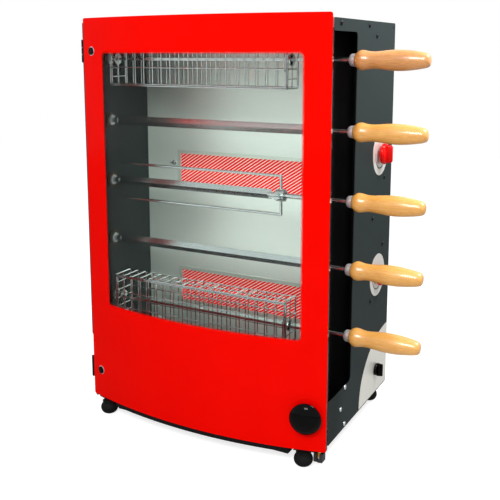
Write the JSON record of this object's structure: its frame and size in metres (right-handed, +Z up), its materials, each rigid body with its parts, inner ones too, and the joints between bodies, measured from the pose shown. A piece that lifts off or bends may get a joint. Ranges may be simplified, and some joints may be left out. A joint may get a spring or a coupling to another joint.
{
  "type": "electric skewer grill",
  "caption": "Countertop rotary grill: a bowed glass door, wooden-handled skewers turned by a gear train in front of infrared burners, and a drip drawer below.",
  "frame": {"origin": "middle of the footprint at rest, on the floor", "axes": "+Z up, the door faces -Y, the skewer handles point to +X"},
  "size_m": [0.6912, 0.3792, 0.774],
  "materials": {
    "side_panel_right": "satin",
    "side_panel_left": "satin",
    "roof_panel": "satin",
    "rear_cover": "satin",
    "base_panel": "satin",
    "chamber_back_wall": "satin",
    "skewer_support_wall": "matte",
    "foot_brackets": "satin",
    "feet": "matte",
    "foot_bolts": "zinc plated",
    "burners": "satin",
    "burner_tiles": "matte",
    "gas_manifold": "satin",
    "gas_valve_lower": "satin",
    "gas_valve_upper": "satin",
    "gas_feeds": "satin",
    "scale_discs": "satin",
    "control_plate": "satin",
    "selector_switch": "matte",
    "gearmotor": "satin",
    "gear_bushes": "satin",
    "drive_cover": "satin",
    "hinge_brackets": "satin",
    "catch_housing": "matte",
    "mains_inlet": "matte",
    "casing_screws": "polished",
    "drawer_rails": "satin",
    "catch_spring": "bright",
    "door_glass": "clear",
    "door_enamel": "gloss",
    "door_hinge_leaves": "satin",
    "door_screws": "gloss",
    "door_knob": "gloss",
    "drip_drawer": "satin",
    "catch_plunger": "polished",
    "motor_pinion": "satin",
    "gear_3": "machined",
    "gear_1": "machined",
    "gear_2": "machined",
    "gear_4": "machined",
    "gear_5": "machined",
    "skewer_1": "polished",
    "handle_1": "varnished",
    "basket_1": "polished",
    "skewer_2": "polished",
    "handle_2": "varnished",
    "skewer_3": "polished",
    "handle_3": "varnished",
    "skewer_4": "polished",
    "handle_4": "varnished",
    "skewer_5": "polished",
    "handle_5": "varnished",
    "basket_5": "polished",
    "basket_lid_1": "polished",
    "basket_lid_5": "polished",
    "fork_3": "polished",
    "fork_screw_3": "polished",
    "gas_knob_lower": "gloss",
    "gas_knob_upper": "gloss",
    "selector_knob": "gloss"
  },
  "bodies": {
    "casing": {"side_panel_right": "side_panel_right", "side_panel_left": "side_panel_left", "roof_panel": "roof_panel", "rear_cover": "rear_cover", "base_panel": "base_panel", "chamber_back_wall": "chamber_back_wall", "skewer_support_wall": "skewer_support_wall", "foot_brackets": "foot_brackets", "feet": "feet", "foot_bolts": "foot_bolts", "burners": "burners", "burner_tiles": "burner_tiles", "gas_manifold": "gas_manifold", "gas_valve_lower": "gas_valve_lower", "gas_valve_upper": "gas_valve_upper", "gas_feeds": "gas_feeds", "scale_discs": "scale_discs", "control_plate": "control_plate", "selector_switch": "selector_switch", "gearmotor": "gearmotor", "gear_bushes": "gear_bushes", "drive_cover": "drive_cover", "hinge_brackets": "hinge_brackets", "catch_housing": "catch_housing", "mains_inlet": "mains_inlet", "casing_screws": "casing_screws", "drawer_rails": "drawer_rails", "catch_spring": "catch_spring"},
    "door": {"door_glass": "door_glass", "door_enamel": "door_enamel", "door_hinge_leaves": "door_hinge_leaves", "door_screws": "door_screws", "door_knob": "door_knob"},
    "drawer": {"drip_drawer": "drip_drawer"},
    "catch": {"catch_plunger": "catch_plunger"},
    "motor_shaft": {"motor_pinion": "motor_pinion"},
    "gear_3": {"gear_3": "gear_3"},
    "gear_1": {"gear_1": "gear_1"},
    "gear_2": {"gear_2": "gear_2"},
    "gear_4": {"gear_4": "gear_4"},
    "gear_5": {"gear_5": "gear_5"},
    "skewer_1": {"skewer_1": "skewer_1", "handle_1": "handle_1", "basket_1": "basket_1"},
    "skewer_2": {"skewer_2": "skewer_2", "handle_2": "handle_2"},
    "skewer_3": {"skewer_3": "skewer_3", "handle_3": "handle_3"},
    "skewer_4": {"skewer_4": "skewer_4", "handle_4": "handle_4"},
    "skewer_5": {"skewer_5": "skewer_5", "handle_5": "handle_5", "basket_5": "basket_5"},
    "lid_1": {"basket_lid_1": "basket_lid_1"},
    "lid_5": {"basket_lid_5": "basket_lid_5"},
    "fork": {"fork_3": "fork_3"},
    "fork_screw": {"fork_screw_3": "fork_screw_3"},
    "gas_knob_lower": {"gas_knob_lower": "gas_knob_lower"},
    "gas_knob_upper": {"gas_knob_upper": "gas_knob_upper"},
    "selector_knob": {"selector_knob": "selector_knob"}
  },
  "joints": [
    {"name": "door_hinge", "type": "hinge", "parent": "casing", "child": "door", "pos_m": [-0.3004, -0.15095, 0.402], "axis": [0, 0, -1], "range_deg": [0, 110]},
    {"name": "drawer_slide", "type": "slide", "parent": "casing", "child": "drawer", "axis": [0, -1, 0], "range_m": [0, 0.18]},
    {"name": "catch_press", "type": "slide", "parent": "casing", "child": "catch", "axis": [0, 0, 1], "range_m": [-0.0012, 0], "stiffness_N_per_m": 600, "springref_m": 0.002, "deforming": ["catch_spring"]},
    {"name": "gear_3_spin", "type": "hinge", "parent": "casing", "child": "gear_3", "pos_m": [-0.3009, -0.08135, 0.458], "axis": [1, 0, 0], "continuous": true},
    {"name": "gear_1_spin", "type": "hinge", "parent": "casing", "child": "gear_1", "pos_m": [-0.3009, -0.08135, 0.698], "axis": [1, 0, 0], "continuous": true},
    {"name": "gear_2_spin", "type": "hinge", "parent": "casing", "child": "gear_2", "pos_m": [-0.3009, -0.08135, 0.578], "axis": [1, 0, 0], "continuous": true},
    {"name": "gear_4_spin", "type": "hinge", "parent": "casing", "child": "gear_4", "pos_m": [-0.3009, -0.08135, 0.338], "axis": [1, 0, 0], "continuous": true},
    {"name": "gear_5_spin", "type": "hinge", "parent": "casing", "child": "gear_5", "pos_m": [-0.3009, -0.08135, 0.218], "axis": [1, 0, 0], "continuous": true},
    {"name": "motor_spin", "type": "hinge", "parent": "casing", "child": "motor_shaft", "pos_m": [-0.3009, -0.00135, 0.458], "axis": [1, 0, 0], "continuous": true},
    {"name": "skewer_1_pull", "type": "slide", "parent": "gear_1", "child": "skewer_1", "axis": [1, 0, 0], "range_m": [0, 0.022]},
    {"name": "skewer_2_pull", "type": "slide", "parent": "gear_2", "child": "skewer_2", "axis": [1, 0, 0], "range_m": [0, 0.022]},
    {"name": "skewer_3_pull", "type": "slide", "parent": "gear_3", "child": "skewer_3", "axis": [1, 0, 0], "range_m": [0, 0.022]},
    {"name": "skewer_4_pull", "type": "slide", "parent": "gear_4", "child": "skewer_4", "axis": [1, 0, 0], "range_m": [0, 0.022]},
    {"name": "skewer_5_pull", "type": "slide", "parent": "gear_5", "child": "skewer_5", "axis": [1, 0, 0], "range_m": [0, 0.022]},
    {"name": "basket_lid_1_slide", "type": "slide", "parent": "skewer_1", "child": "lid_1", "axis": [1, 0, 0], "range_m": [0, 0.04]},
    {"name": "basket_lid_5_slide", "type": "slide", "parent": "skewer_5", "child": "lid_5", "axis": [1, 0, 0], "range_m": [0, 0.04]},
    {"name": "fork_slide", "type": "slide", "parent": "skewer_3", "child": "fork", "axis": [1, 0, 0], "range_m": [-0.01, 0.04]},
    {"name": "fork_screw_turn", "type": "hinge", "parent": "fork", "child": "fork_screw", "pos_m": [0.0836, -0.09735, 0.458], "axis": [0, -1, 0], "range_deg": [0, 360]},
    {"name": "gas_knob_lower_turn", "type": "hinge", "parent": "casing", "child": "gas_knob_lower", "pos_m": [0.2176, 0.09265, 0.283], "axis": [-1, 0, 0], "range_deg": [0, 90]},
    {"name": "gas_knob_upper_turn", "type": "hinge", "parent": "casing", "child": "gas_knob_upper", "pos_m": [0.2176, 0.09265, 0.521], "axis": [-1, 0, 0], "range_deg": [0, 90]},
    {"name": "selector_turn", "type": "hinge", "parent": "casing", "child": "selector_knob", "pos_m": [0.2136, 0.09565, 0.088], "axis": [-1, 0, 0], "range_deg": [0, 60]}
  ],
  "couplings": [
    {"joint": "gear_1_spin", "follows": "gear_3_spin", "ratio": 1},
    {"joint": "gear_2_spin", "follows": "gear_3_spin", "ratio": -1},
    {"joint": "gear_4_spin", "follows": "gear_3_spin", "ratio": -1},
    {"joint": "gear_5_spin", "follows": "gear_3_spin", "ratio": 1},
    {"joint": "motor_spin", "follows": "gear_3_spin", "ratio": -3}
  ]
}
